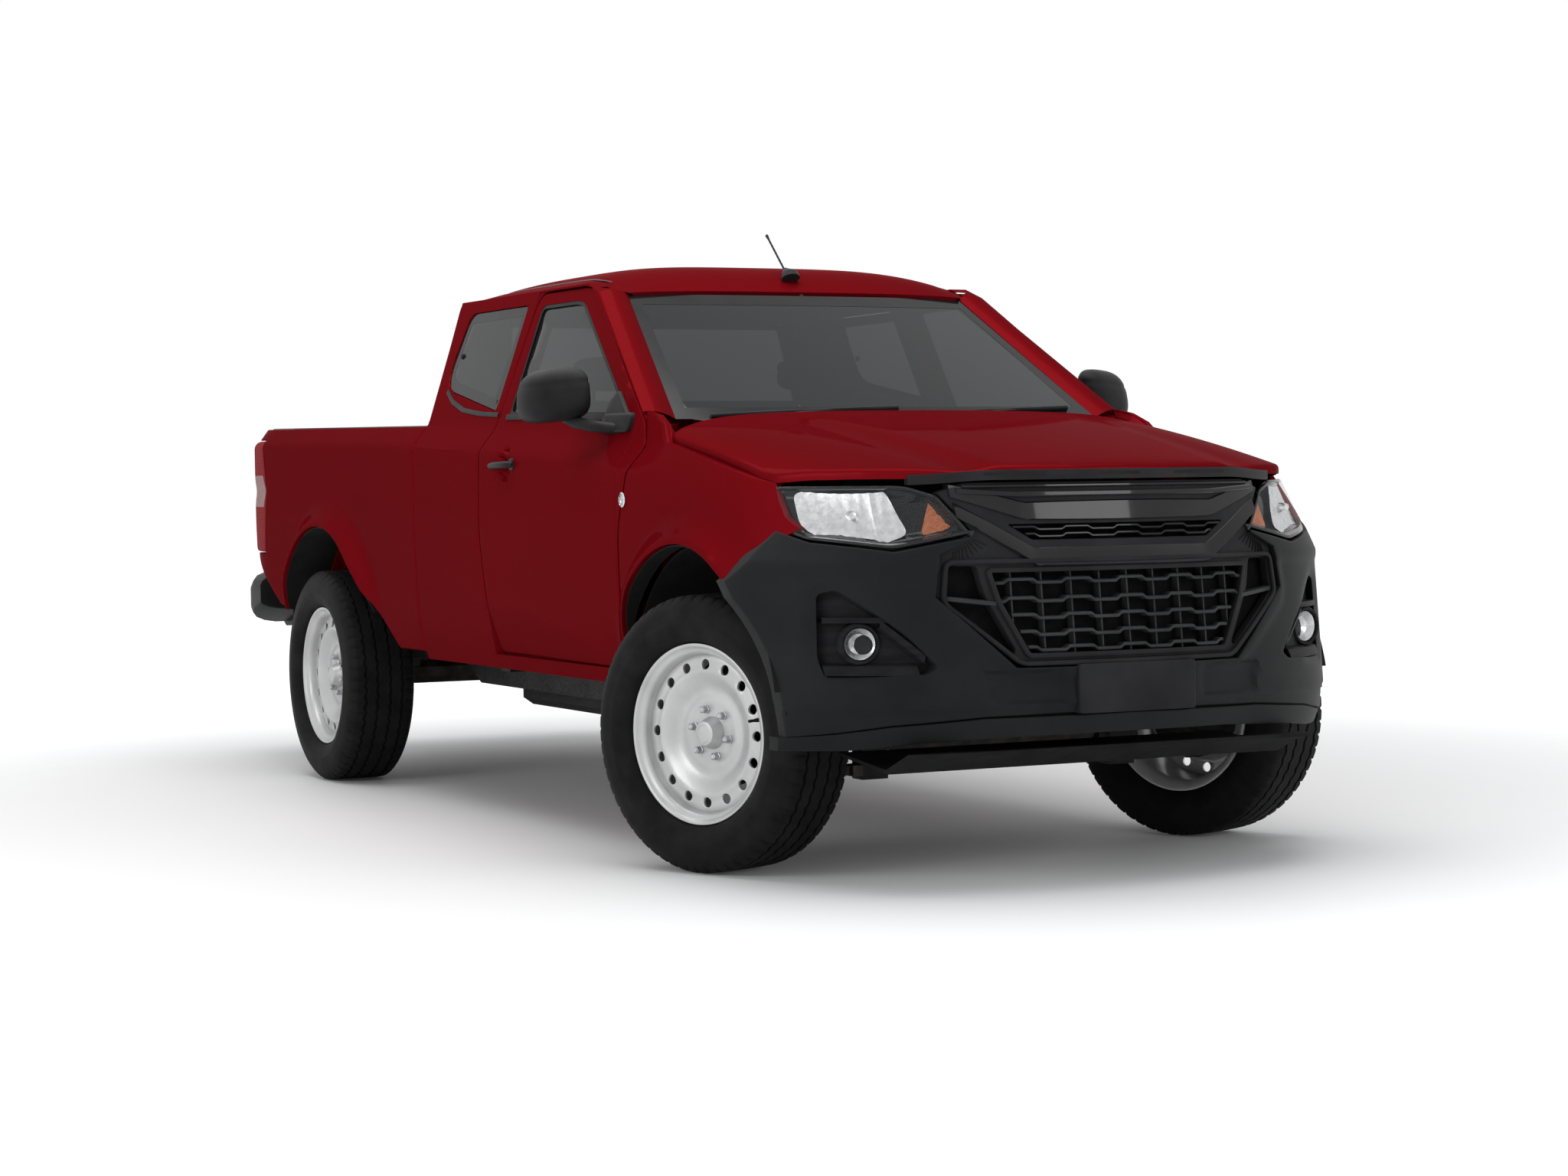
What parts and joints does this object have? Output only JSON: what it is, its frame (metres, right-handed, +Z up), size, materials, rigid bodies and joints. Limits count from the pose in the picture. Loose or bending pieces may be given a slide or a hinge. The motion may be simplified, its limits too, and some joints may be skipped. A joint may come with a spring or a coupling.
{
  "type": "pickup truck",
  "caption": "Two-door extended-cab pickup truck with an open load bed, steered steel wheels, opening doors, hood and tailgate, standing on its tyres with the front wheels turned left.",
  "frame": {"origin": "on the ground under the middle of the truck's length and width", "axes": "+X forward, +Y to the truck's left, +Z up"},
  "size_m": [5.27, 2.08, 1.8454],
  "materials": {
    "body_paint": "red metallic with clear coat",
    "black_plastic": "grained",
    "gloss_black": "gloss",
    "frame_black": "satin",
    "cast_metal": "rough",
    "steel_wheel": "silver satin",
    "tyre_rubber": "matte",
    "cabin_glass": "tinted",
    "lamp_clear": "clear",
    "lamp_red": "tinted clear",
    "seat_fabric": "woven",
    "soft_trim": "grained",
    "bright_steel": "bare",
    "core_alloy": "satin"
  },
  "bodies": {
    "truck": {"bed_sides": "body_paint", "cab_glass": "cabin_glass", "cab_shell": "body_paint", "chassis_frame": "frame_black", "dashboard": "soft_trim", "engine_block": "cast_metal", "exhaust": "bright_steel", "front_bumper": "black_plastic", "front_fenders": "body_paint", "front_suspension": "frame_black", "fuel_tank": "black_plastic", "grille": "gloss_black", "headlamps": "lamp_clear", "load_bed": "body_paint", "radiator": "core_alloy", "rear_axle": "cast_metal", "rear_bumper": "black_plastic", "roof_antenna": "black_plastic", "roof_panel": "body_paint", "seats": "seat_fabric", "skid_plate": "black_plastic", "spare_wheel": "tyre_rubber", "tail_lamps": "lamp_red", "wheel_liners": "black_plastic", "wipers": "black_plastic"},
    "hood": {"hood": "body_paint"},
    "tailgate": {"tailgate": "body_paint"},
    "door_left": {"door_left": "body_paint", "door_glass_left": "cabin_glass", "mirror_left": "black_plastic"},
    "door_right": {"door_right": "body_paint", "door_glass_right": "cabin_glass", "mirror_right": "black_plastic"},
    "knuckle_left": {"knuckle_left": "cast_metal"},
    "knuckle_right": {"knuckle_right": "cast_metal"},
    "steering_wheel": {"steering_wheel": "soft_trim"},
    "wheel_front_left": {"rim_front_left": "steel_wheel", "tyre_front_left": "tyre_rubber"},
    "wheel_front_right": {"rim_front_right": "steel_wheel", "tyre_front_right": "tyre_rubber"},
    "wheel_rear_left": {"rim_rear_left": "steel_wheel", "tyre_rear_left": "tyre_rubber"},
    "wheel_rear_right": {"rim_rear_right": "steel_wheel", "tyre_rear_right": "tyre_rubber"}
  },
  "joints": [
    {"name": "steering_wheel_turn", "type": "hinge", "parent": "truck", "child": "steering_wheel", "pos_m": [0.84, 0.37, 1.068], "axis": [-0.9135, 0, 0.4067], "range_deg": [-890, 225]},
    {"name": "steer_left", "type": "hinge", "parent": "truck", "child": "knuckle_left", "pos_m": [1.75, 0.745, 0.378], "axis": [0, 0, 1], "range_deg": [-55.8, 14.2]},
    {"name": "steer_right", "type": "hinge", "parent": "truck", "child": "knuckle_right", "pos_m": [1.75, -0.745, 0.378], "axis": [0, 0, 1], "range_deg": [-55.8, 14.2]},
    {"name": "hood_hinge", "type": "hinge", "parent": "truck", "child": "hood", "pos_m": [1.3, 0, 1.19], "axis": [0, -1, 0], "range_deg": [0, 50]},
    {"name": "tailgate_hinge", "type": "hinge", "parent": "truck", "child": "tailgate", "pos_m": [-2.26, 0, 0.778], "axis": [0, -1, 0], "range_deg": [0, 90]},
    {"name": "door_left_hinge", "type": "hinge", "parent": "truck", "child": "door_left", "pos_m": [1.268, 0.856, 0.8], "axis": [0, 0, -1], "range_deg": [0, 65]},
    {"name": "door_right_hinge", "type": "hinge", "parent": "truck", "child": "door_right", "pos_m": [1.268, -0.856, 0.8], "axis": [0, 0, 1], "range_deg": [0, 65]},
    {"name": "front_left_spin", "type": "hinge", "parent": "knuckle_left", "child": "wheel_front_left", "pos_m": [1.73582, 0.7824, 0.378], "axis": [-0.3545, 0.9351, 0], "continuous": true},
    {"name": "rear_left_spin", "type": "hinge", "parent": "truck", "child": "wheel_rear_left", "pos_m": [-1.375, 0.785, 0.378], "axis": [0, 1, 0], "continuous": true},
    {"name": "front_right_spin", "type": "hinge", "parent": "knuckle_right", "child": "wheel_front_right", "pos_m": [1.76418, -0.7824, 0.378], "axis": [-0.3545, 0.9351, 0], "continuous": true},
    {"name": "rear_right_spin", "type": "hinge", "parent": "truck", "child": "wheel_rear_right", "pos_m": [-1.375, -0.785, 0.378], "axis": [0, 1, 0], "continuous": true}
  ],
  "couplings": [
    {"joint": "steer_left", "follows": "steering_wheel_turn", "ratio": 0.0625},
    {"joint": "steer_right", "follows": "steering_wheel_turn", "ratio": 0.0625}
  ]
}
